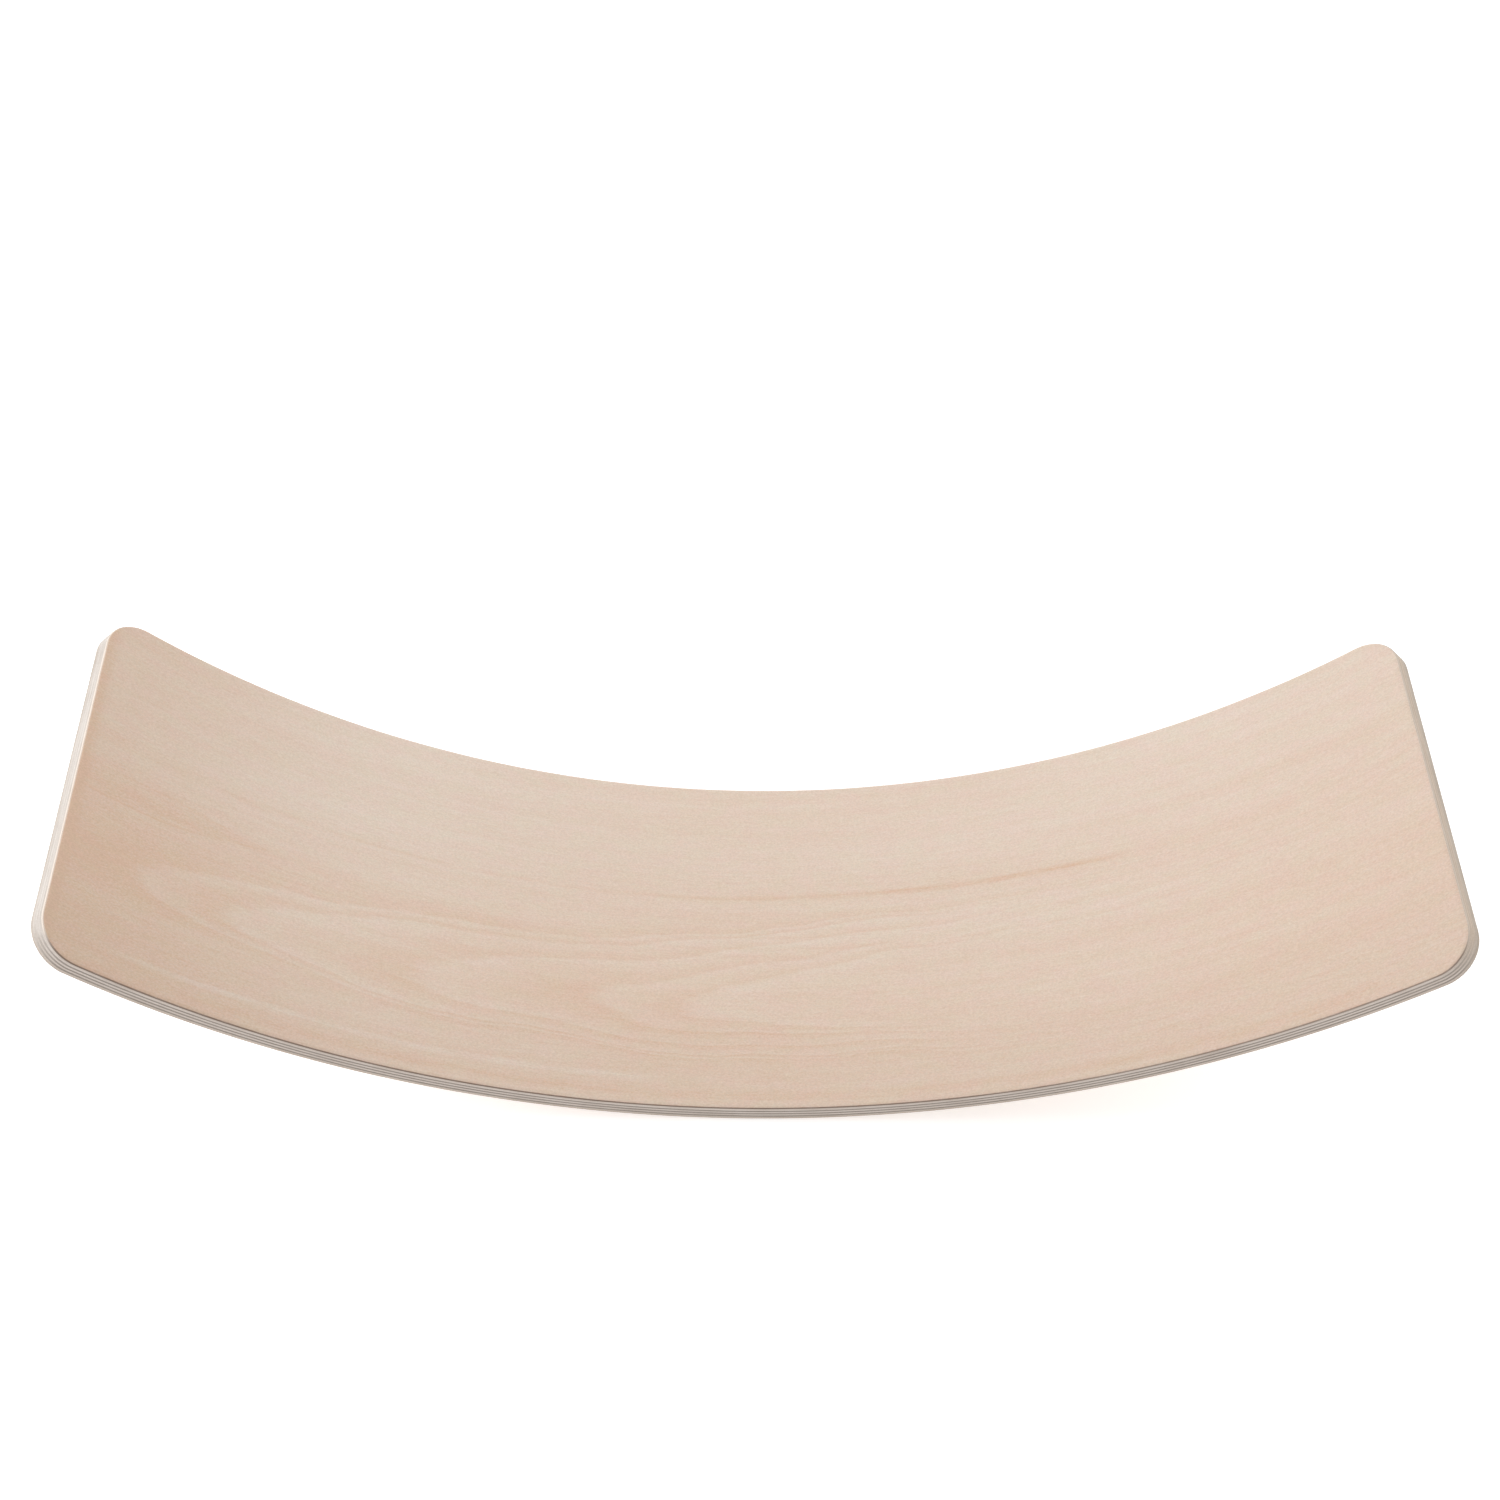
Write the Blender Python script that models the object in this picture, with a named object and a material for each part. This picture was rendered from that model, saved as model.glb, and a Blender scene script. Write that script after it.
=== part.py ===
"""A curved balance board, also called a rocker board: a bent laminate of eleven beech veneers.

Each veneer is an object of its own. The board rests on the middle of its convex underside, with its long
axis along X, its width along Y and its hollow side up. The origin is the middle of the line it rests on.
"""

import math

import bmesh
import bpy

# Driving dimensions, in metres and radians
OUTER_RADIUS = 0.635  # bend radius of the underside
END_ANGLE = math.radians(45.3)  # from the middle of the board to either end, about the bend's axis
WIDTH = 0.280
THICKNESS = 0.015
CORNER_RADIUS = 0.028  # of the rounded corners, seen square to the board
ARRIS_RADIUS = 0.002  # of the sanded arrises, top and bottom
FACE_LEAF = 0.0006  # the thin veneers that show on top and underneath
GLUE_LINE = 0.0003
CORE_VENEERS = 9
CROSSWISE_VENEERS = (3, 5, 7)  # of the core, counted from the top; the rest run lengthwise

# How finely curves are cut into flats
BEND_SEGMENTS = 51  # odd, so that the board rests on a flat and not on an edge
CORNER_SEGMENTS = 8
ARRIS_SEGMENTS = 4
LEAST_STEP = 0.00005  # a ring of points keeps at least this depth from the next

# Worked out from the above
CORE_VENEER = (THICKNESS - 2 * FACE_LEAF - (CORE_VENEERS + 1) * GLUE_LINE) / CORE_VENEERS
MIDDLE_RADIUS = OUTER_RADIUS - THICKNESS / 2
HALF_LENGTH = MIDDLE_RADIUS * END_ANGLE  # along the bend
HALF_WIDTH = WIDTH / 2

# Colours: (red, green, blue), roughness
FACE_BEECH = ((0.66, 0.49, 0.36), 0.55)
LENGTHWISE_BEECH = ((0.58, 0.47, 0.38), 0.65)
CROSSWISE_BEECH = ((0.36, 0.29, 0.23), 0.75)


def clear_scene():
    for thing in list(bpy.data.objects):
        bpy.data.objects.remove(thing, do_unlink=True)


def make_material(name, look):
    colour, roughness = look
    material = bpy.data.materials.new(name)
    material.use_nodes = True
    shader = material.node_tree.nodes["Principled BSDF"]
    shader.inputs["Base Color"].default_value = (*colour, 1.0)
    shader.inputs["Roughness"].default_value = roughness
    shader.inputs["Metallic"].default_value = 0.0
    material.diffuse_color = (*colour, 1.0)
    return material


def arris_inset(depth):
    """How far the board's outline draws in at this depth below its top face, where an arris is rounded."""
    from_face = min(depth, THICKNESS - depth)
    if from_face >= ARRIS_RADIUS:
        return 0.0
    below_start = ARRIS_RADIUS - from_face
    return ARRIS_RADIUS - math.sqrt(max(ARRIS_RADIUS**2 - below_start**2, 0.0))


def half_outline(inset):
    """(distance along the bend, half the width there), from one end of the flat board to the other."""
    corner_along = HALF_LENGTH - CORNER_RADIUS
    corner_across = HALF_WIDTH - CORNER_RADIUS
    radius = CORNER_RADIUS - inset
    corner = []
    for step in range(CORNER_SEGMENTS + 1):
        angle = math.pi / 2 * step / CORNER_SEGMENTS
        along = corner_along + radius * math.sin(angle)
        across = corner_across + radius * math.cos(angle)
        corner.append((along, across))
    left = [(-along, across) for along, across in reversed(corner)]
    middle = []
    for step in range(1, BEND_SEGMENTS):
        along = corner_along * (2 * step / BEND_SEGMENTS - 1)
        middle.append((along, HALF_WIDTH - inset))
    return left + middle + corner


def bend(along, across, depth):
    """The place in the bent board of a point of the flat one. The middle flat lies at a height of 0."""
    middle_flat = 2 * (HALF_LENGTH - CORNER_RADIUS) / BEND_SEGMENTS / MIDDLE_RADIUS
    axis_height = OUTER_RADIUS * math.cos(middle_flat / 2)
    angle = along / MIDDLE_RADIUS
    radius = OUTER_RADIUS - THICKNESS + depth
    return radius * math.sin(angle), across, axis_height - radius * math.cos(angle)


def ring_depths(top, bottom):
    """The depths of the rings of points down a veneer's edge: its faces, and where a rounded arris turns."""
    turns = []
    for step in range(1, ARRIS_SEGMENTS + 1):
        depth = ARRIS_RADIUS * (1 - math.cos(math.pi / 2 * step / ARRIS_SEGMENTS))
        turns += [depth, THICKNESS - depth]
    between = [depth for depth in turns if top + LEAST_STEP < depth < bottom - LEAST_STEP]
    return [top, *sorted(between), bottom]


def add_ring(bm, depth):
    """Two rows of points at one depth, one along each long edge."""
    near, far = [], []
    for along, half_width in half_outline(arris_inset(depth)):
        near.append(bm.verts.new(bend(along, -half_width, depth)))
        far.append(bm.verts.new(bend(along, half_width, depth)))
    return near, far


def veneer_mesh(name, top, bottom):
    """A veneer between two depths below the board's top face, as one closed mesh."""
    bm = bmesh.new()
    rings = [add_ring(bm, depth) for depth in ring_depths(top, bottom)]
    last = len(rings[0][0]) - 1
    for near, far in (rings[0], rings[-1]):
        for i in range(last):
            bm.faces.new((near[i], near[i + 1], far[i + 1], far[i]))
    for (near_above, far_above), (near_below, far_below) in zip(rings, rings[1:]):
        for above, below in ((near_above, near_below), (far_above, far_below)):
            for i in range(last):
                bm.faces.new((above[i], above[i + 1], below[i + 1], below[i]))
        for i in (0, last):
            bm.faces.new((near_above[i], far_above[i], far_below[i], near_below[i]))
    bmesh.ops.recalc_face_normals(bm, faces=bm.faces)
    mesh = bpy.data.meshes.new(name)
    bm.to_mesh(mesh)
    bm.free()
    mesh.shade_smooth()
    mesh.set_sharp_from_angle(angle=math.radians(40))
    return mesh


def add_veneer(name, top, thickness, material):
    """Adds one veneer and returns the depth at which the next one starts."""
    mesh = veneer_mesh(name, top, top + thickness)
    mesh.materials.append(material)
    veneer = bpy.data.objects.new(name, mesh)
    bpy.context.scene.collection.objects.link(veneer)
    return top + thickness + GLUE_LINE


def build_board():
    face = make_material("face_beech", FACE_BEECH)
    lengthwise = make_material("lengthwise_beech", LENGTHWISE_BEECH)
    crosswise = make_material("crosswise_beech", CROSSWISE_BEECH)

    depth = add_veneer("top_face_leaf", 0.0, FACE_LEAF, face)
    for number in range(1, CORE_VENEERS + 1):
        is_crosswise = number in CROSSWISE_VENEERS
        grain, material = ("crosswise", crosswise) if is_crosswise else ("lengthwise", lengthwise)
        depth = add_veneer(f"core_veneer_{number}_{grain}", depth, CORE_VENEER, material)
    add_veneer("bottom_face_leaf", depth, FACE_LEAF, face)


clear_scene()
build_board()
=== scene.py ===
"""Looks of a curved balance board: bent, laminated beech, hollow side up on a pale studio floor.

The board is drawn veneer by veneer in flat coordinates (along the bend, across it, depth below the top
face) and then bent. Every point keeps its flat coordinates, so the wood's figure follows the bend.
"""

import math

import bmesh
import bpy
from mathutils import Matrix, Vector, noise


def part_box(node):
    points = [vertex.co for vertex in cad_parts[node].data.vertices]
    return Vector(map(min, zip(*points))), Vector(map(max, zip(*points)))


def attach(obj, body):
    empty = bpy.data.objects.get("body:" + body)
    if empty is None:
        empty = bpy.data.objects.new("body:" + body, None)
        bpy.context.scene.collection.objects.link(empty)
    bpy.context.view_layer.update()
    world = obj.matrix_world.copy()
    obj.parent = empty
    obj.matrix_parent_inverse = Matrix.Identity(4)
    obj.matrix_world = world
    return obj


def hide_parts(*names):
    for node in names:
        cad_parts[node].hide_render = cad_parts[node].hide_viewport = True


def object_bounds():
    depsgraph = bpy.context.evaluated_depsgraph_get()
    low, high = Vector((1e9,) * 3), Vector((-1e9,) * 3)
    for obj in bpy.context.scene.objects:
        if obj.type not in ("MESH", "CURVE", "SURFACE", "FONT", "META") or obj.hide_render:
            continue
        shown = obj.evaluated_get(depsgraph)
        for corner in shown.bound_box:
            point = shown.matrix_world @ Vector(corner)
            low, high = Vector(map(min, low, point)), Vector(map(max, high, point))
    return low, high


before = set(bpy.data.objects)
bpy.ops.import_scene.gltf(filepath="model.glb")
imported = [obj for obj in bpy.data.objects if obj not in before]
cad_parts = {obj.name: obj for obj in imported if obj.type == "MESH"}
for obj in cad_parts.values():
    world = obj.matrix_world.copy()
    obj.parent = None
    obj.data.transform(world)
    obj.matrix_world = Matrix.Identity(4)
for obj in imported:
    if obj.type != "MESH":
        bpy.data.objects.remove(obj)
cad_low, cad_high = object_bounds()

# The board, in metres and radians, as the frame has it
OUTER_RADIUS = 0.635
END_ANGLE = math.radians(45.3)
THICKNESS = 0.015
CORNER_RADIUS = 0.028
ARRIS_RADIUS = 0.002
WIDTH = cad_high.y - cad_low.y
MIDDLE_RADIUS = OUTER_RADIUS - THICKNESS / 2
END_TRIM = 0.00014  # shorter at each end, so that the finer arris stays within the frame's box
HALF_LENGTH = MIDDLE_RADIUS * END_ANGLE - END_TRIM
HALF_WIDTH = WIDTH / 2
VENEERS = (
    "top_face_leaf",
    "core_veneer_1_lengthwise",
    "core_veneer_2_lengthwise",
    "core_veneer_3_crosswise",
    "core_veneer_4_lengthwise",
    "core_veneer_5_crosswise",
    "core_veneer_6_lengthwise",
    "core_veneer_7_crosswise",
    "core_veneer_8_lengthwise",
    "core_veneer_9_lengthwise",
    "bottom_face_leaf",
)

# Finer points of the drawn veneers, in metres
CAD_GLUE_GAP = 0.0003
GLUE_LINE = 0.00012
GLUE_RECESS = 0.00004
SEAM_WANDER = 0.0001  # how far a glue line strays from its depth
WANDER_LENGTH = 0.045
FACE_MARGIN = 0.001  # a narrow strip inside the arris, so that the flat of a face is shaded as flat
BEND_SEGMENTS = 168
CORNER_SEGMENTS = 14
ARRIS_SEGMENTS = 7
SHARP_ANGLE = math.radians(35)  # a fold at least this steep is shaded as an edge


# ---------------------------------------------------------------- shape


def arris_inset(depth):
    """How far the outline draws in at this depth, where an arris is rounded."""
    from_face = max(min(depth, THICKNESS - depth), 0.0)
    if from_face >= ARRIS_RADIUS:
        return 0.0
    return ARRIS_RADIUS - math.sqrt(ARRIS_RADIUS**2 - (ARRIS_RADIUS - from_face) ** 2)


def half_outline(inset):
    """(along, across, how much the edge there faces the end of the board), from one end to the other."""
    corner_along = HALF_LENGTH - CORNER_RADIUS
    corner_across = HALF_WIDTH - CORNER_RADIUS
    radius = CORNER_RADIUS - inset
    corner = []
    for step in range(CORNER_SEGMENTS + 1):
        angle = math.pi / 2 * step / CORNER_SEGMENTS
        along = corner_along + radius * math.sin(angle)
        across = corner_across + radius * math.cos(angle)
        corner.append((along, across, math.sin(angle) ** 2))
    left = [(-along, across, end) for along, across, end in reversed(corner)]
    middle = []
    for step in range(1, BEND_SEGMENTS):
        along = corner_along * (2 * step / BEND_SEGMENTS - 1)
        middle.append((along, HALF_WIDTH - inset, 0.0))
    return left + middle + corner


def bend(along, across, depth):
    """The place in the bent board of a point of the flat one."""
    angle = along / MIDDLE_RADIUS
    radius = OUTER_RADIUS - THICKNESS + depth
    return radius * math.sin(angle), across, OUTER_RADIUS - radius * math.cos(angle)


def seam_shift(seam, along, across):
    """How far a seam strays from its depth here. The first and last seams, the board's faces, don't."""
    if seam in (0, len(VENEERS)):
        return 0.0
    place = Vector((along / WANDER_LENGTH, across / WANDER_LENGTH, seam * math.pi))
    return SEAM_WANDER * noise.noise(place)


def ring_plan(top, bottom, recess):
    """(depth, inset, seam or None) of each ring of points down a layer. top and bottom are (depth, seam)."""
    (top_depth, top_seam), (bottom_depth, bottom_seam) = top, bottom
    clear = 2 * SEAM_WANDER  # so that a seam that strays never crosses another ring
    plan = []
    if top_seam == 0:
        plan.append((top_depth, ARRIS_RADIUS + FACE_MARGIN, top_seam))
    plan.append((top_depth, arris_inset(top_depth) + recess, top_seam))
    for step in range(1, ARRIS_SEGMENTS + 1):
        turn = ARRIS_RADIUS * (1 - math.cos(math.pi / 2 * step / ARRIS_SEGMENTS))
        for depth in (turn, THICKNESS - turn):
            if top_depth + clear < depth < bottom_depth - clear:
                plan.append((depth, arris_inset(depth) + recess, None))
    plan.append((bottom_depth, arris_inset(bottom_depth) + recess, bottom_seam))
    if bottom_seam == len(VENEERS):
        plan.append((bottom_depth, ARRIS_RADIUS + FACE_MARGIN, bottom_seam))
    return sorted(plan, key=lambda ring: ring[0])


def add_ring(bm, layers, depth, inset, seam):
    """Two rows of points at one depth, one along each long edge."""
    flat_layer, end_layer = layers
    rows = []
    for side in (-1, 1):
        row = []
        for along, half_width, end in half_outline(inset):
            across = side * half_width
            here = depth if seam is None else depth + seam_shift(seam, along, across)
            vert = bm.verts.new(bend(along, across, here))
            vert[flat_layer] = (along, across, here)
            vert[end_layer] = end
            row.append(vert)
        rows.append(row)
    return rows


def layer_mesh(name, top, bottom, recess):
    """A closed layer of the board between two depths, with its flat coordinates and its end share."""
    bm = bmesh.new()
    layers = bm.verts.layers.float_vector.new("flat"), bm.verts.layers.float.new("end_share")
    rings = [add_ring(bm, layers, *ring) for ring in ring_plan(top, bottom, recess)]
    last = len(rings[0][0]) - 1
    for near, far in (rings[0], rings[-1]):
        for i in range(last):
            bm.faces.new((near[i], near[i + 1], far[i + 1], far[i]))
    for above, below in zip(rings, rings[1:]):
        for upper, lower in zip(above, below):
            for i in range(last):
                bm.faces.new((upper[i], upper[i + 1], lower[i + 1], lower[i]))
        for i in (0, last):
            bm.faces.new((above[0][i], above[1][i], below[1][i], below[0][i]))
    bmesh.ops.recalc_face_normals(bm, faces=bm.faces)
    mesh = bpy.data.meshes.new(name)
    bm.to_mesh(mesh)
    bm.free()
    mesh.shade_smooth()
    mesh.set_sharp_from_angle(angle=SHARP_ANGLE)
    return mesh


def add_layer(name, top, bottom, material, recess=0.0):
    mesh = layer_mesh(name, top, bottom, recess)
    mesh.materials.append(material)
    piece = bpy.data.objects.new(name, mesh)
    bpy.context.scene.collection.objects.link(piece)
    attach(piece, "root")
    return piece


# ---------------------------------------------------------------- look of the wood

# Colours, linear red, green and blue
FACE_PALE = (0.684, 0.586, 0.505, 1)
FACE_TAN = (0.610, 0.417, 0.299, 1)
FACE_ROSE = (1.012, 0.985, 1.0, 1)
FACE_STRAW = (0.988, 1.012, 0.99, 1)
# A painted highlight on the upper arris at the board's ends
END_LIP_HIGHLIGHT = (0.690, 0.610, 0.530, 1)
# A bluish tint of painted shade for the faces
SHADE_TINT = (0.90, 0.93, 0.95, 1)
FLECK = (0.80, 0.77, 0.74, 1)
GRIT = (0.885, 0.885, 0.880, 1)
SPECK = (0.16, 0.10, 0.07, 1)
LENGTHWISE_SIDE = (0.577, 0.510, 0.460, 1)
LENGTHWISE_END = (0.505, 0.465, 0.425, 1)
CROSSWISE_END = (0.285, 0.247, 0.218, 1)
CROSSWISE_SIDE = (0.560, 0.520, 0.480, 1)
# Painted shade on the lower part of the cut edges
LOW_EDGE_SHADE = (0.88, 0.85, 0.81, 1)
RIGHT_END = (1.04, 0.93, 0.82, 1)
PORE = (0.70, 0.66, 0.62, 1)
# ARRIS_BROWN is painted shade along the arrises
ARRIS_BROWN = (0.38, 0.315, 0.275, 1)
GLUE = (0.22, 0.15, 0.10, 1)
MIDDLE_GREY = (0.5, 0.5, 0.5, 1)

# A noise or a pattern of cells is given by its scale, in cycles per metre along the board, across it and
# through its depth. A noise has its detail and roughness too, and one that wanders has its reach.
# A slope is given by where it starts and ends, and by its value at the start and at the end.

# The brown line of painted shade round each arris, first by depth below the nearer face
ARRIS_SHADE_STARTS = (0.00045, 0.00065, 0.0, 1.0)
ARRIS_SHADE_STOPS = (0.0013, 0.0018, 1.0, 0.0)
# The line fades out at the board's ends, where the light catches the arris
ARRIS_SHADE_LIT_ENDS = (-0.1, 0.1, 1.0, 0.72)  # how far the ends are rid of it, along the board
ARRIS_SHADE_REMAINS = (0.2, 0.9, 1.0, 0.05)  # what remains of it, by how far the place is rid of it
ARRIS_SHADE_ALONG = (0.10, 0.30, 1.0, 0.80)  # a little fainter on the right

# The painted highlight on the upper arris at the ends, strongest at the left end, where the light falls: by
# depth, by end share and along the board
LIP_HIGHLIGHT_STARTS = (0.0003, 0.0007, 0.0, 1.0)
LIP_HIGHLIGHT_STOPS = (0.0014, 0.0022, 1.0, 0.0)
LIP_HIGHLIGHT_AT_ENDS = (0.3, 0.9, 0.0, 1.0)
LIP_HIGHLIGHT_ALONG = (-0.1, 0.1, 0.95, 0.60)

# The nested arches of a face. The lengths are in metres
ARCH_SWAY = ((7.0, 16.0, 0.0), 2.0, 0.5, 0.016)
ARCH_RAGGED = ((30.0, 330.0, 0.0), 3.0, 0.5, 0.016)
ARCH_OPENING = 95.0  # metres along the board for each square metre across, on the far side of a tip
ARCH_OPENING_NEARER = 190.0  # this much more of it on the near side
ARCH_LEAD = 0.12  # the figure starts this far before the first tip
ARCH_TAIL = 0.20  # and ends this far beyond the last
ARCH_LINE = 0.012  # from a tip out to its darkest and in to its palest, as a share of the figure's length
ARCH_FADES = 0.09  # from a tip in to where the next arch begins to darken, as the same share
ARCH_BETWEEN = (0.45, 0.45, 0.45, 1)

# The tongues: how they widen inwards from the tip, then their body and rim by distance inside the outline
TONGUE_RAGGED = ((18.0, 260.0, 0.0), 3.0, 0.5, 0.02)
TONGUE_WIDENS = (-0.005, 0.09)
TONGUE_BODY = (-0.0015, 0.0020, 0.0, 0.35)
TONGUE_RIM_STARTS = (-0.0008, 0.0004, 0.0, 1.0)
TONGUE_RIM_STOPS = (0.0006, 0.0020, 0.45, 0.0)

# The streaks
STREAK_SWAY = ((5.0, 0.0, 0.0), 2.0, 0.5, 0.003)
STREAK_BREAKS = ((22.0, 260.0, 0.0), 2.0, 0.5)
STREAK_BROKEN = (0.35, 0.62, 0.35, 1.0)
STREAK_RISES = 0.12
STREAK_FALLS = 0.05

# How tan a face is, between its pale colour at 0 and its tan one at 1
FACE_TONE = 0.34
FACE_NOISES = (
    ((3.0, 26.0, 0.0), 3.0, 0.5, 0.21),  # broad shading
    ((2.4, 150.0, 0.0), 4.0, 0.6, 0.18),  # bands
    ((45.0, 700.0, 0.0), 3.0, 0.6, 0.22),  # fibres
    ((500.0, 1600.0, 0.0), 2.0, 0.6, 0.50),  # grains
)
ARCH_STRENGTH = 0.28
ARCH_STRENGTH_ALONG = (0.02, 0.24, 1.0, 0.30)
# Towards the left end: darker wood, and painted shade. Towards the right end and the near edge: painted
# shade. TANNER_LEFT_RIM makes the last centimetre of the left end tanner still
TAN_AND_SHADE_LEFT_END = (-0.50, -0.25, 0.36, 0.0)
TANNER_LEFT_RIM = (-0.494, -0.484, 0.30, 0.0)
SHADE_TAN_RIGHT_END = (0.25, 0.50, 0.0, 0.06)
SHADE_TAN_NEARER = (-0.14, 0.14, 0.20, -0.10)

# The finer marks of a face. A seed here is added to the face's own, so that its noise differs from the others
HUE_NOISE = ((60.0, 110.0, 0.0), 4.0, 0.55)
HUE_SPREAD = (0.3, 0.7, 0.0, 1.0)
HUE_SEED = 20
DASHES = (190.0, 1300.0, 0.0)
DASH_SIZE = (0.08, 0.30, 1.0, 0.0)
DASH_PATCHES = ((60.0, 240.0, 0.0), 2.0, 0.5)
DASH_STRENGTH = (0.42, 0.68, 0.0, 0.5)
DASH_SEED = 7
GRIT_NOISE = ((700.0, 900.0, 0.0), 3.0, 0.8)
GRIT_SPREAD = (0.35, 0.65, 0.0, 1.0)
GRIT_SEED = 31
SPECKS = (5.5, 9.0, 0.0)
SPECK_SIZE = (0.0035, 0.0065, 0.8, 0.0)
# Painted shade on a face: darker and bluer towards the left end and the near edge, where the light falls off
SHADE_TINT_LEFT = (-0.50, -0.20, 1.0, 0.0)
SHADE_TINT_NEAR = (-0.14, -0.04, 0.7, 0.0)
SHADE_TINT_STRENGTH = 0.6
RAISED_FIBRES = ((60.0, 1500.0, 0.0), 3.0, 0.5)
DASH_HOLLOW = 0.6
FACE_RELIEF = 0.00005

# The cut edges of the core
RIGHT_END_ALONG = (0.1, 0.3, 0.0, 1.0)
RIGHT_END_BY_DEPTH = (0.006, 0.011, 1.0, 0.4)
# Painted shade: the cut edges darker towards the underside, near the floor, and more so at the right end
LOW_EDGE_SHADE_BY_DEPTH = (0.006, 0.013, 0.0, 1.0)
LOW_SIDE_SHADE_BY_DEPTH = (0.008, 0.014, 0.0, 1.0)
LOW_RIGHT_END_SHADE = 0.8
LENGTHWISE_FIBRES = ((12.0, 900.0, 1500.0), 3.0, 0.6)
CROSSWISE_FIBRES = ((900.0, 12.0, 1500.0), 3.0, 0.6)
FIBRE_SPREAD = (0.35, 0.75, 0.0, 0.45)
PORES = (2400.0, 2400.0, 2400.0)
PORE_SIZE = (0.15, 0.5, 0.5, 0.0)
CUT_PATCHES = ((38.0, 38.0, 160.0), 2.0, 0.5)
CUT_PATCH_SPREAD = (0.4, 0.75, 0.0, 0.4)
CUT_RELIEF = 0.00004

# The glue
GLUE_BLOTCHES = ((120.0, 120.0, 120.0), 3.0, 0.5)
GLUE_SPREAD = (0.35, 0.75, 0.0, 1.0)
GLUE_RELIEF = 0.00002


# ---------------------------------------------------------------- materials


class Wood:
    """A wood material under construction, with short ways to add its nodes."""

    def __init__(self, name, roughness, specular):
        self.material = bpy.data.materials.new(name)
        self.material.use_nodes = True
        self.tree = self.material.node_tree
        self.shader = self.tree.nodes["Principled BSDF"]
        self.shader.inputs["Roughness"].default_value = roughness
        self.shader.inputs["Specular IOR Level"].default_value = specular
        self.flat = self.add("ShaderNodeAttribute", attribute_name="flat").outputs["Vector"]
        self.end_share = self.add("ShaderNodeAttribute", attribute_name="end_share").outputs["Fac"]
        self.along, self.across, self.depth = self.split(self.flat)

    def add(self, kind, **settings):
        made = self.tree.nodes.new(kind)
        for setting, value in settings.items():
            setattr(made, setting, value)
        return made

    def feed(self, socket, value):
        if isinstance(value, bpy.types.NodeSocket):
            self.tree.links.new(value, socket)
        else:
            socket.default_value = value

    def split(self, vector):
        made = self.add("ShaderNodeSeparateXYZ")
        self.feed(made.inputs[0], vector)
        return tuple(made.outputs)

    def maths(self, operation, first, second=0.0):
        made = self.add("ShaderNodeMath", operation=operation)
        self.feed(made.inputs[0], first)
        self.feed(made.inputs[1], second)
        return made.outputs[0]

    def times(self, first, second):
        return self.maths("MULTIPLY", first, second)

    def total(self, *values):
        result = values[0]
        for value in values[1:]:
            result = self.maths("ADD", result, value)
        return result

    def stretched(self, scale, seed):
        made = self.add("ShaderNodeMapping")
        self.feed(made.inputs["Vector"], self.flat)
        made.inputs["Scale"].default_value = scale
        made.inputs["Location"].default_value = (seed, seed, seed)
        return made.outputs[0]

    def noise(self, scale, detail, rough, seed=0.0):
        made = self.add("ShaderNodeTexNoise")
        self.feed(made.inputs["Vector"], self.stretched(scale, seed))
        made.inputs["Scale"].default_value = 1.0
        made.inputs["Detail"].default_value = detail
        made.inputs["Roughness"].default_value = rough
        return made.outputs["Fac"]

    def wander(self, scale, detail, rough, reach, seed=0.0):
        """A noise between -reach and reach."""
        made = self.add("ShaderNodeMath", operation="MULTIPLY_ADD")
        self.feed(made.inputs[0], self.noise(scale, detail, rough, seed))
        made.inputs[1].default_value = 2 * reach
        made.inputs[2].default_value = -reach
        return made.outputs[0]

    def cells(self, scale, seed):
        """The distance to the nearest of a scatter of points."""
        made = self.add("ShaderNodeTexVoronoi")
        self.feed(made.inputs["Vector"], self.stretched(scale, seed))
        made.inputs["Scale"].default_value = 1.0
        return made.outputs["Distance"]

    def slope(self, value, start, end, at_start, at_end):
        """Smoothly from at_start to at_end while value goes from start to end."""
        made = self.add("ShaderNodeMapRange", interpolation_type="SMOOTHSTEP")
        self.feed(made.inputs["Value"], value)
        made.inputs["From Min"].default_value = start
        made.inputs["From Max"].default_value = end
        made.inputs["To Min"].default_value = at_start
        made.inputs["To Max"].default_value = at_end
        return made.outputs["Result"]

    def position(self, value, start, end):
        """0 where value is at start, 1 where it is at end, evenly in between."""
        made = self.add("ShaderNodeMapRange")
        self.feed(made.inputs["Value"], value)
        made.inputs["From Min"].default_value = start
        made.inputs["From Max"].default_value = end
        return made.outputs["Result"]

    def mix(self, share, first, second, blend_type="MIX"):
        made = self.add("ShaderNodeMix", data_type="RGBA", blend_type=blend_type)
        colour_a, colour_b = [socket for socket in made.inputs if socket.type == "RGBA"]
        self.feed(made.inputs["Factor"], share)
        self.feed(colour_a, first)
        self.feed(colour_b, second)
        return next(socket for socket in made.outputs if socket.type == "RGBA")

    def finish(self, colour, height, relief):
        """The colour, and a bump of this relief in metres from a height between 0 and 1."""
        self.feed(self.shader.inputs["Base Color"], colour)
        bump = self.add("ShaderNodeBump")
        bump.inputs["Strength"].default_value = 1.0
        bump.inputs["Distance"].default_value = relief
        self.feed(bump.inputs["Height"], height)
        self.feed(self.shader.inputs["Normal"], bump.outputs["Normal"])
        return self.material


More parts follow.
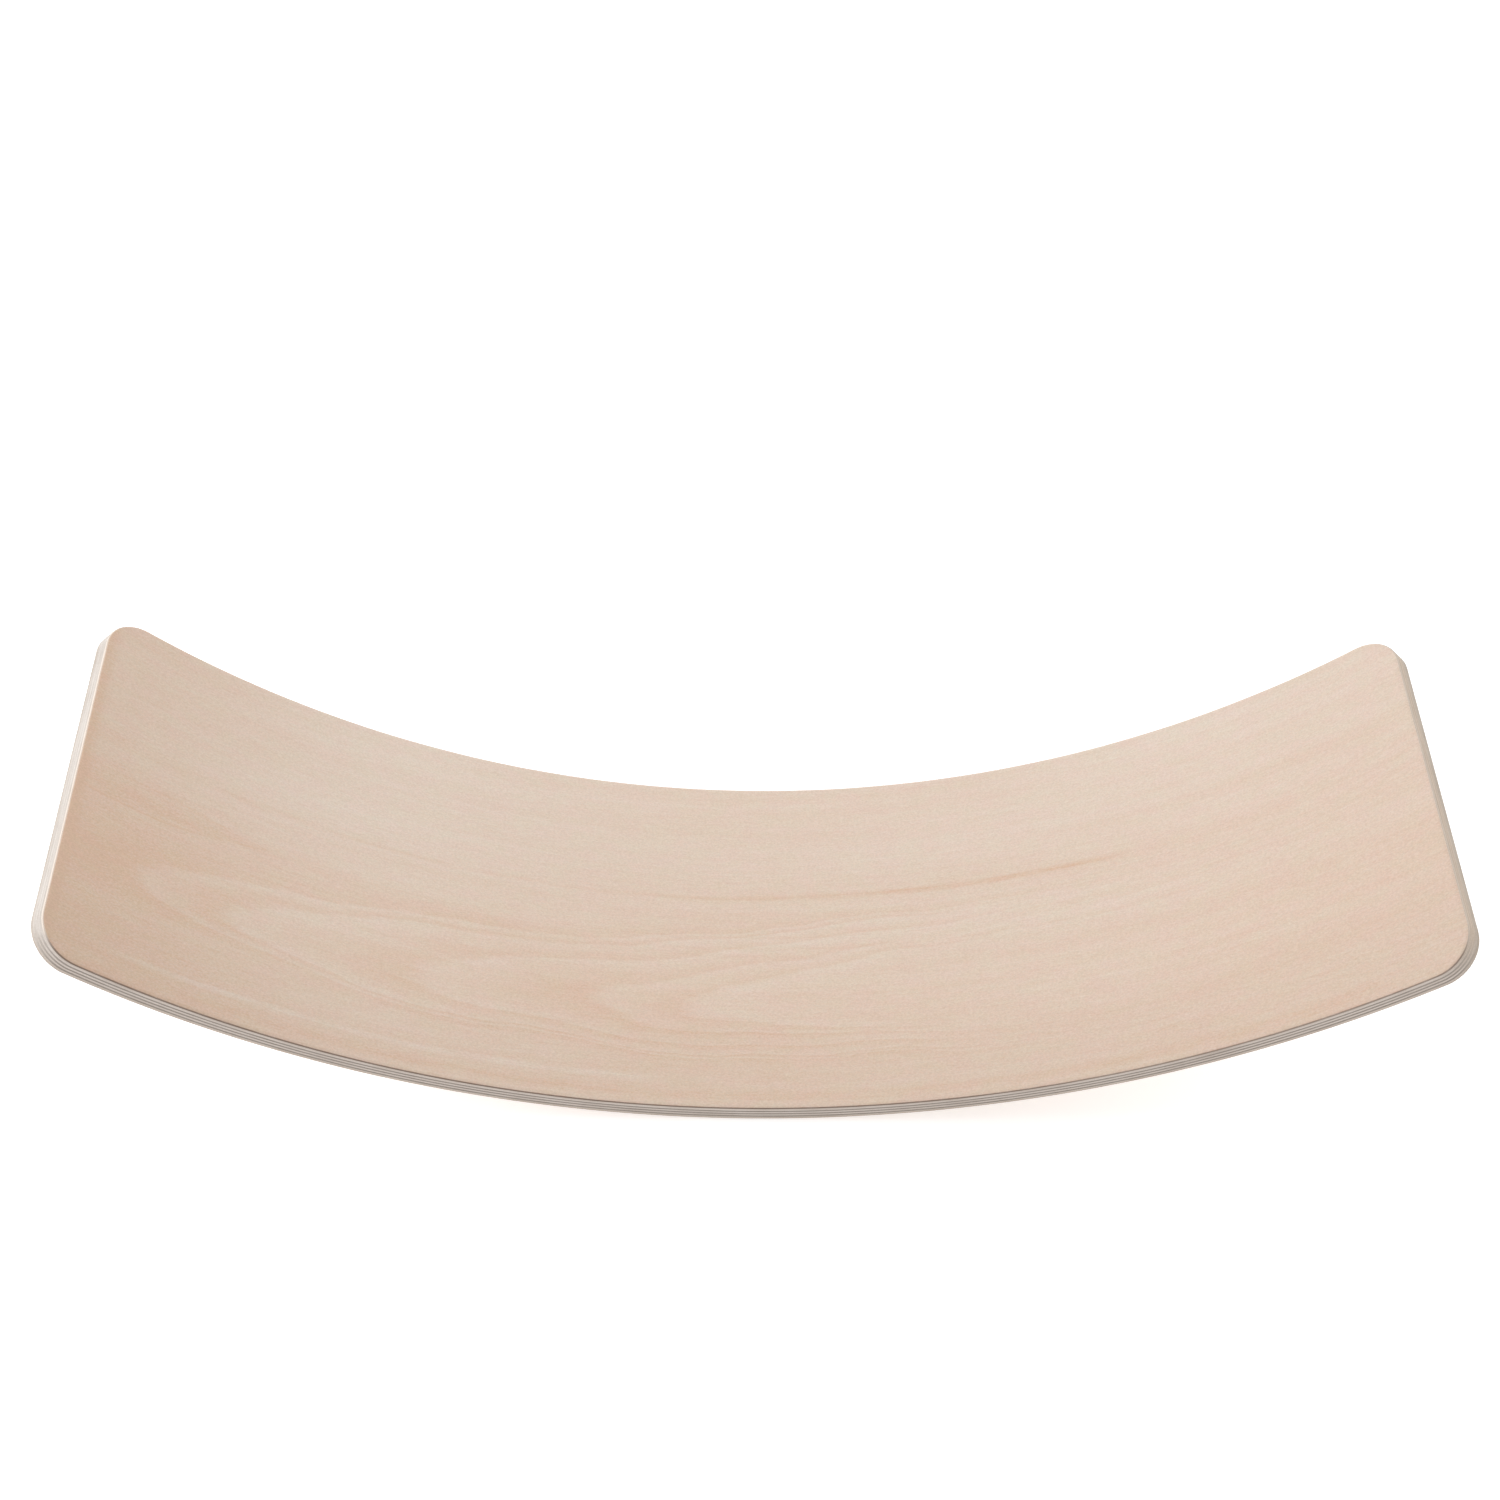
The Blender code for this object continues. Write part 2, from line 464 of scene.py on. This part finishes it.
def arris_shade(wood, colour):
    """The colour, browner along a line of painted shade partway round each arris, faded out at the board's
    ends, where the light catches the arris.
    """
    below = wood.maths("SUBTRACT", THICKNESS, wood.depth)
    nearest = wood.maths("MINIMUM", wood.depth, below)
    line = wood.times(wood.slope(nearest, *ARRIS_SHADE_STARTS), wood.slope(nearest, *ARRIS_SHADE_STOPS))
    lit_ends = wood.times(wood.end_share, wood.slope(wood.along, *ARRIS_SHADE_LIT_ENDS))
    remains = wood.times(wood.slope(lit_ends, *ARRIS_SHADE_REMAINS), wood.slope(wood.along, *ARRIS_SHADE_ALONG))
    return wood.mix(wood.times(line, remains), colour, ARRIS_BROWN, "MULTIPLY")


def painted_end_highlight(wood, colour):
    """The colour, paler round the upper arris of the board's ends: a painted highlight, strongest at the left
    end, where the light falls.
    """
    highlight = wood.times(wood.slope(wood.depth, *LIP_HIGHLIGHT_STARTS), wood.slope(wood.depth, *LIP_HIGHLIGHT_STOPS))
    where = wood.times(wood.slope(wood.end_share, *LIP_HIGHLIGHT_AT_ENDS), wood.slope(wood.along, *LIP_HIGHLIGHT_ALONG))
    return wood.mix(wood.times(highlight, where), colour, END_LIP_HIGHLIGHT)


def arches(wood, tips, centre, seed):
    """The nested arches of a flat-cut leaf: pale just inside each tip, darkening to the next one.

    tips are their places along the board, all on the line at centre across it, and they point left.
    """
    sway = wood.wander(*ARCH_SWAY, seed=seed)
    ragged = wood.wander(*ARCH_RAGGED, seed=seed)
    offset = wood.total(wood.across, -centre, sway)
    nearer = wood.maths("LESS_THAN", offset, 0.0)
    opening = wood.total(ARCH_OPENING, wood.times(nearer, ARCH_OPENING_NEARER))
    place = wood.maths("SUBTRACT", wood.along, wood.times(wood.times(offset, offset), opening))
    place = wood.total(place, ragged)
    start, end = tips[0] - ARCH_LEAD, tips[-1] + ARCH_TAIL
    ramp = wood.add("ShaderNodeValToRGB")
    stops = ramp.color_ramp.elements
    stops[0].position, stops[0].color = 0.0, MIDDLE_GREY
    stops[1].position, stops[1].color = 1.0, MIDDLE_GREY
    for tip in tips:
        at = (tip - start) / (end - start)
        stops.new(at - ARCH_LINE).color = (1, 1, 1, 1)
        stops.new(at + ARCH_LINE).color = (0, 0, 0, 1)
        stops.new(at + ARCH_FADES).color = ARCH_BETWEEN
    wood.feed(ramp.inputs["Fac"], wood.position(place, start, end))
    return ramp.outputs["Color"]


def tongue(wood, tip, centre, half_width, direction):
    """A tongue of wood that comes in from an end and narrows to its tip, about twice as strong at its rim."""
    offset = wood.maths("ABSOLUTE", wood.total(wood.across, -centre))
    inside = wood.times(wood.total(wood.along, -tip, wood.wander(*TONGUE_RAGGED)), direction)
    half = wood.slope(inside, *TONGUE_WIDENS, 0.0, half_width)
    edge = wood.maths("SUBTRACT", half, offset)
    rim = wood.times(wood.slope(edge, *TONGUE_RIM_STARTS), wood.slope(edge, *TONGUE_RIM_STOPS))
    return wood.total(wood.slope(edge, *TONGUE_BODY), rim)


def streak(wood, centre, half_width, start, end):
    """Up to 1 along the middle of one streak, broken here and there and fading out towards its ends."""
    sway = wood.wander(*STREAK_SWAY, seed=centre)
    offset = wood.maths("ABSOLUTE", wood.total(wood.across, -centre, sway))
    profile = wood.slope(offset, 0.0, half_width, 1.0, 0.0)
    rise = wood.slope(wood.along, start, start + STREAK_RISES, 0.0, 1.0)
    fall = wood.slope(wood.along, end - STREAK_FALLS, end, 1.0, 0.0)
    broken = wood.slope(wood.noise(*STREAK_BREAKS, seed=centre), *STREAK_BROKEN)
    return wood.times(wood.times(profile, broken), wood.times(rise, fall))


def face_tone(wood, seed, tips, centre):
    """How tan the wood is: FACE_TONE, changed by the figure, and towards the board's ends and near edge by
    painted shade, with darker wood at the left end too.
    """
    noises = [wood.wander(*figure, seed=seed) for figure in FACE_NOISES]
    arch = wood.times(wood.total(arches(wood, tips, centre, seed), -0.5), ARCH_STRENGTH)
    arch = wood.times(arch, wood.slope(wood.along, *ARCH_STRENGTH_ALONG))
    # Tanner towards the ends and the near edge: painted shade, with darker wood at the left end too
    left_end = wood.slope(wood.along, *TAN_AND_SHADE_LEFT_END)
    left_rim = wood.slope(wood.along, *TANNER_LEFT_RIM)
    right_end = wood.slope(wood.along, *SHADE_TAN_RIGHT_END)
    near_edge = wood.slope(wood.across, *SHADE_TAN_NEARER)
    return wood.total(FACE_TONE, *noises, arch, left_end, left_rim, right_end, near_edge)


def face_beech(name, seed, tips, centre, marks):
    """Sanded beech. marks are the tongues and streaks that this face has."""
    wood = Wood(name, roughness=0.50, specular=0.30)
    tone = face_tone(wood, seed, tips, centre)
    for shape, strength, places in marks:
        tone = wood.total(tone, wood.times(shape(wood, *places), strength))
    tone = wood.maths("MINIMUM", wood.maths("MAXIMUM", tone, 0.0), 1.0)
    colour = wood.mix(tone, FACE_PALE, FACE_TAN)

    hue = wood.noise(*HUE_NOISE, seed=seed + HUE_SEED)
    tint = wood.mix(wood.slope(hue, *HUE_SPREAD), FACE_ROSE, FACE_STRAW)
    colour = wood.mix(1.0, colour, tint, "MULTIPLY")

    patches = wood.noise(*DASH_PATCHES, seed=seed + DASH_SEED)
    dash = wood.times(wood.slope(wood.cells(DASHES, seed), *DASH_SIZE), wood.slope(patches, *DASH_STRENGTH))
    colour = wood.mix(dash, colour, FLECK, "MULTIPLY")

    grit = wood.noise(*GRIT_NOISE, seed=seed + GRIT_SEED)
    colour = wood.mix(wood.slope(grit, *GRIT_SPREAD), colour, GRIT, "MULTIPLY")
    colour = wood.mix(wood.slope(wood.cells(SPECKS, seed), *SPECK_SIZE), colour, SPECK)

    # Painted shade, darker and bluer towards the left end and the near edge
    shaded = wood.total(wood.slope(wood.along, *SHADE_TINT_LEFT), wood.slope(wood.across, *SHADE_TINT_NEAR))
    colour = wood.mix(wood.times(shaded, SHADE_TINT_STRENGTH), colour, SHADE_TINT, "MULTIPLY")
    # Painted shade round the arrises, and a painted highlight on the upper arris of the ends
    colour = arris_shade(wood, painted_end_highlight(wood, colour))
    fibres = wood.noise(*RAISED_FIBRES, seed=seed)
    return wood.finish(colour, wood.maths("SUBTRACT", fibres, wood.times(dash, DASH_HOLLOW)), FACE_RELIEF)


def cut_beech(name, seed, along_edge, at_end, fibres):
    """The cut edge of a core veneer: one colour on the long edges, another on the ends of the board."""
    wood = Wood(name, roughness=0.62, specular=0.25)
    colour = wood.mix(wood.end_share, along_edge, at_end)

    # Warmer and a little darker at the right end, most near the top face
    right_end = wood.times(wood.end_share, wood.slope(wood.along, *RIGHT_END_ALONG))
    warmed = wood.times(right_end, wood.slope(wood.depth, *RIGHT_END_BY_DEPTH))
    colour = wood.mix(warmed, colour, RIGHT_END, "MULTIPLY")
    # Painted shade, darker towards the underside and more so at the right end
    low = wood.total(wood.slope(wood.depth, *LOW_SIDE_SHADE_BY_DEPTH), wood.times(right_end, LOW_RIGHT_END_SHADE))
    low = wood.times(wood.slope(wood.depth, *LOW_EDGE_SHADE_BY_DEPTH), low)
    colour = wood.mix(low, colour, LOW_EDGE_SHADE, "MULTIPLY")

    pores = wood.slope(wood.cells(PORES, seed), *PORE_SIZE)
    streaks = wood.noise(*fibres, seed=seed)
    patches = wood.slope(wood.noise(*CUT_PATCHES, seed=seed), *CUT_PATCH_SPREAD)
    dark = wood.total(pores, wood.slope(streaks, *FIBRE_SPREAD), patches)
    colour = wood.mix(dark, colour, PORE, "MULTIPLY")
    # Painted shade round the arrises, and a painted highlight on the upper arris of the ends
    colour = arris_shade(wood, painted_end_highlight(wood, colour))
    return wood.finish(colour, streaks, CUT_RELIEF)


def glue_film():
    """Dried glue, with wood showing through it in blotches."""
    wood = Wood("glue_film", roughness=0.45, specular=0.4)
    blotches = wood.noise(*GLUE_BLOTCHES)
    colour = wood.mix(wood.slope(blotches, *GLUE_SPREAD), GLUE, LENGTHWISE_SIDE)
    return wood.finish(colour, blotches, GLUE_RELIEF)


# The tips of a face's arches are places along the board, and its centre is their place across it. Each
# mark has its shape, how much tanner it makes the wood, and what the shape's own function asks for
TOP_SEED = 3.7
TOP_TIPS = (-0.440, -0.380, -0.242, -0.115, -0.044)
TOP_CENTRE = -0.060
TOP_MARKS = (
    (tongue, 0.26, (-0.345, 0.002, 0.0115, -1)),
    (streak, 0.50, (0.038, 0.0040, -0.04, 0.29)),
    (streak, 0.22, (0.036, 0.0030, -0.45, 0.05)),
    (streak, 0.20, (-0.008, 0.0025, -0.15, 0.35)),
    (streak, -0.30, (-0.119, 0.0040, -0.49, -0.05)),
    (streak, 0.20, (-0.131, 0.0060, -0.45, 0.45)),
)
BOTTOM_SEED = 11.3
BOTTOM_TIPS = (-0.30, -0.19, 0.02, 0.13, 0.26)
BOTTOM_CENTRE = 0.035
BOTTOM_MARKS = (
    (tongue, 0.30, (0.30, 0.050, 0.014, 1)),
    (streak, 0.30, (-0.060, 0.0040, -0.35, 0.20)),
    (streak, 0.20, (0.095, 0.0030, -0.20, 0.42)),
)
LENGTHWISE_SEED = 1.9
CROSSWISE_SEED = 5.3


def make_materials():
    lengthwise = (LENGTHWISE_SEED, LENGTHWISE_SIDE, LENGTHWISE_END, LENGTHWISE_FIBRES)
    crosswise = (CROSSWISE_SEED, CROSSWISE_END, CROSSWISE_SIDE, CROSSWISE_FIBRES)
    return {
        "top": face_beech("face_beech_top", TOP_SEED, TOP_TIPS, TOP_CENTRE, TOP_MARKS),
        "bottom": face_beech("face_beech_bottom", BOTTOM_SEED, BOTTOM_TIPS, BOTTOM_CENTRE, BOTTOM_MARKS),
        "lengthwise": cut_beech("lengthwise_beech", *lengthwise),
        "crosswise": cut_beech("crosswise_beech", *crosswise),
    }


# ---------------------------------------------------------------- board


def seam_depths():
    """The depth of the middle of each glue line, with the two faces of the board as the first and last."""
    seams = [0.0]
    for node in VENEERS[:-1]:
        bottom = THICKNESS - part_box(node)[0].z
        seams.append(bottom + CAD_GLUE_GAP / 2)
    return [*seams, THICKNESS]


def build_board():
    materials = make_materials()
    glue = glue_film()
    seams = seam_depths()
    last = len(VENEERS)
    for number, node in enumerate(VENEERS):
        if "face" in node:
            material, slot = materials[node.split("_")[0]], "face_beech"
        else:
            grain = node.split("_")[-1]
            material, slot = materials[grain], f"{grain}_beech"
        top = seams[number] + (GLUE_LINE / 2 if number else 0.0)
        bottom = seams[number + 1] - (GLUE_LINE / 2 if number + 1 < last else 0.0)
        piece = add_layer(f"{node}_wood", (top, number), (bottom, number + 1), material)
        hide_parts(node)
    for number in range(1, last):
        top = seams[number] - GLUE_LINE / 2
        bottom = seams[number] + GLUE_LINE / 2
        name = f"glue_line_{number}"
        add_layer(name, (top, number), (bottom, number), glue, GLUE_RECESS)


# ---------------------------------------------------------------- studio

CAMERA_ELEVATION = math.radians(52.443)
CAMERA_AZIMUTH = math.radians(-3.134)
CAMERA_ROLL = math.radians(3.068)
CAMERA_DISTANCE = 1.4517
CAMERA_LENS = 50.86
CAMERA_SENSOR = 36.0
CAMERA_SHIFT = (-0.0045, 0.0748)
CAMERA_AIM = 0.09197  # height of its aim above the lowest line of the top face

FLOOR_REACH = 12.0
FLOOR_DROP = 0.0002  # so that the floor and the board's underside never coincide
FLOOR_COLOUR = (0.80, 0.80, 0.80, 1)
FLOOR_GLOW = 0.45
SURROUND_LIGHT = 0.75

COOL = (0.978, 0.974, 1.0)
WHITE = (1.0, 1.0, 0.985)
PURE_WHITE = (1, 1, 1, 1)

# Name, place, aim, width and height in metres, power in watts, colour
SOFTBOXES = (
    ("softbox_left", (-1.5, 0.0, 1.25), (-0.3, 0, 0.05), (0.9, 0.9), 9.5, COOL),
    ("softbox_left_low", (-1.8, 0.0, 0.65), (-0.4, 0, 0.1), (0.9, 0.6), 10.1, COOL),
    ("softbox_left_behind", (-1.2, 1.2, 1.3), (-0.3, 0, 0.05), (0.9, 0.9), 4.2, WHITE),
    ("softbox_front_right", (1.1, -1.2, 0.4), (0.35, -0.14, 0.08), (0.6, 0.6), 2.0, WHITE),
    ("softbox_right_behind", (1.8, 1.8, 1.8), (0, 0, 0.05), (1.6, 1.6), 28.8, WHITE),
)


def add_camera():
    data = bpy.data.cameras.new("camera")
    data.lens = CAMERA_LENS
    data.sensor_width = CAMERA_SENSOR
    data.shift_x, data.shift_y = CAMERA_SHIFT
    camera = bpy.data.objects.new("camera", data)
    bpy.context.scene.collection.objects.link(camera)
    level = math.cos(CAMERA_ELEVATION)
    sideways = -math.sin(CAMERA_AZIMUTH) * level
    away = math.cos(CAMERA_AZIMUTH) * level
    forward = Vector((sideways, away, -math.sin(CAMERA_ELEVATION)))
    right = forward.cross(Vector((0, 0, 1))).normalized()
    up = right.cross(forward)
    turned_right = right * math.cos(CAMERA_ROLL) + up * math.sin(CAMERA_ROLL)
    turned_up = up * math.cos(CAMERA_ROLL) - right * math.sin(CAMERA_ROLL)
    turn = Matrix((turned_right, turned_up, -forward)).transposed().to_4x4()
    aim = Vector((0, 0, THICKNESS + CAMERA_AIM))
    camera.matrix_world = Matrix.Translation(aim - forward * CAMERA_DISTANCE) @ turn
    bpy.context.scene.camera = camera


def add_softbox(name, place, aim, size, power, colour):
    data = bpy.data.lights.new(name, "AREA")
    data.shape = "RECTANGLE"
    data.size, data.size_y = size
    data.energy = power
    data.color = colour
    light = bpy.data.objects.new(name, data)
    light.location = place
    light.rotation_euler = (Vector(aim) - Vector(place)).to_track_quat("-Z", "Y").to_euler()
    light.visible_camera = False
    bpy.context.scene.collection.objects.link(light)


def floor_material():
    """Matt and pale. It glows a little, so that it stays evenly bright round the board."""
    material = bpy.data.materials.new("floor")
    material.use_nodes = True
    shader = material.node_tree.nodes["Principled BSDF"]
    shader.inputs["Base Color"].default_value = FLOOR_COLOUR
    shader.inputs["Roughness"].default_value = 0.9
    shader.inputs["Specular IOR Level"].default_value = 0.1
    shader.inputs["Emission Color"].default_value = PURE_WHITE
    shader.inputs["Emission Strength"].default_value = FLOOR_GLOW
    return material


def add_floor():
    bm = bmesh.new()
    bmesh.ops.create_grid(bm, x_segments=8, y_segments=8, size=FLOOR_REACH)
    mesh = bpy.data.meshes.new("floor")
    bm.to_mesh(mesh)
    bm.free()
    mesh.materials.append(floor_material())
    floor = bpy.data.objects.new("floor", mesh)
    floor.location.z = -FLOOR_DROP
    bpy.context.scene.collection.objects.link(floor)


def add_world():
    world = bpy.data.worlds.new("studio")
    bpy.context.scene.world = world
    world.use_nodes = True
    background = world.node_tree.nodes["Background"]
    background.inputs["Color"].default_value = PURE_WHITE
    background.inputs["Strength"].default_value = SURROUND_LIGHT


def build_studio():
    bpy.context.scene.view_settings.view_transform = "Standard"
    add_camera()
    add_floor()
    add_world()
    for softbox in SOFTBOXES:
        add_softbox(*softbox)


build_board()
build_studio()
